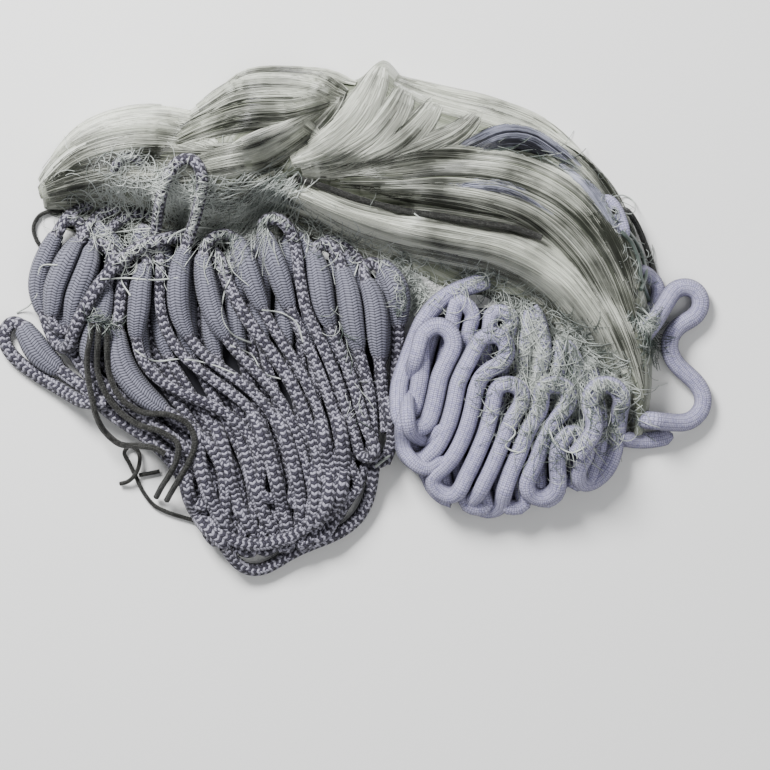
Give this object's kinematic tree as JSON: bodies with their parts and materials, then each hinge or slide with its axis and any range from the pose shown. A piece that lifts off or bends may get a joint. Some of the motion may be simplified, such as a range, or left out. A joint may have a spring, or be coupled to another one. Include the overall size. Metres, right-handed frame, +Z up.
{
  "type": "fishing net",
  "caption": "Gill net laid away in a hank: gathered pale webbing along the top, a weighted lead line and a thicker float line in bights below it, with charcoal ties.",
  "frame": {"origin": "under the middle of the net's outline, on the surface that it lies on, measured without the tie cords", "axes": "+X along the hank towards the float line's end loops, +Y towards the long edge of the webbing, +Z up from the surface"},
  "size_m": [0.3594, 0.2599, 0.0461],
  "materials": {
    "webbing": "satin monofilament mesh, milky grey-white to olive, gathered into locks",
    "lead_rope": "matt braid in dark navy with lavender-grey flecks, ribbed over the leads",
    "float_rope": "matt close braid in pale lavender",
    "tie_cord": "matt charcoal braid"
  },
  "bodies": {
    "root": {"webbing": "webbing", "lead_line": "lead_rope", "lead_line_right": "lead_rope", "lead_line_hank": "lead_rope", "float_line": "float_rope", "float_line_end": "float_rope", "float_line_hank": "float_rope", "tie_left_outer": "tie_cord", "tie_left_middle": "tie_cord", "tie_left_inner": "tie_cord", "tie_fine": "tie_cord", "tie_fine_end": "tie_cord", "tie_webbing": "tie_cord", "tie_right": "tie_cord", "tie_loop": "tie_cord"}
  },
  "joints": []
}
